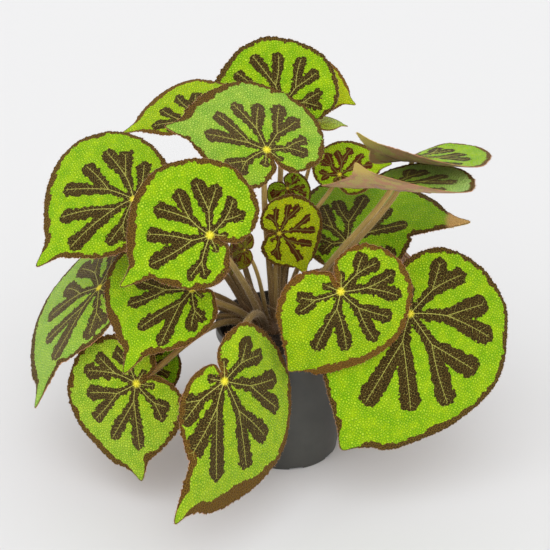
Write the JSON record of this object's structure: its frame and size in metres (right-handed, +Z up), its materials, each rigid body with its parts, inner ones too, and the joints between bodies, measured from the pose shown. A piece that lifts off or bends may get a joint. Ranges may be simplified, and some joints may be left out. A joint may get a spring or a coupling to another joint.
{
  "type": "potted begonia",
  "caption": "Potted begonia with lopsided heart-shaped leaves that carry dark forked bands, on red-brown stalks from one creeping stem, in a tapered plastic pot.",
  "frame": {"origin": "middle of the pot's flat underside, on the surface that it stands on", "axes": "+Z up along the pot's axis, -Y towards the side that the picture shows, +X to the right in it"},
  "size_m": [0.3981, 0.3305, 0.34],
  "materials": {
    "dark_plastic": "satin dark grey, moulded",
    "dark_peat": "loose dark crumbly peat, with about the density of wood",
    "red_brown_stalk": "fleshy, covered in pale hairs",
    "green_leaf": "pebbled bright green blade with forked chocolate-brown bands, a brown rim and pale veins",
    "young_leaf": "thin yellow-green blade with red-brown bands"
  },
  "bodies": {
    "root": {"pot": "dark_plastic", "soil": "dark_peat", "rhizome_and_stalks": "red_brown_stalk", "leaf_left_upper": "green_leaf", "leaf_left_front": "green_leaf", "leaf_left_middle": "green_leaf", "leaf_far_left": "green_leaf", "leaf_low_left": "green_leaf", "leaf_low_front": "green_leaf", "leaf_right_front": "green_leaf", "leaf_right_large": "green_leaf", "leaf_top_front": "green_leaf", "leaf_top_rear": "green_leaf", "leaf_top_left": "green_leaf", "leaf_right_high": "green_leaf", "leaf_right_level": "green_leaf", "leaf_right_middle": "green_leaf", "leaf_back_left": "green_leaf", "leaf_back_right": "green_leaf", "leaf_back_middle": "green_leaf", "leaf_back_low_left": "green_leaf", "leaf_back_low_right": "green_leaf", "leaf_low_left_rear": "young_leaf", "leaf_young_top": "young_leaf", "leaf_young_top_small": "young_leaf", "leaf_young_right": "young_leaf", "leaf_young_centre": "young_leaf", "leaf_young_rear": "young_leaf", "leaf_bud": "young_leaf"}
  },
  "joints": []
}
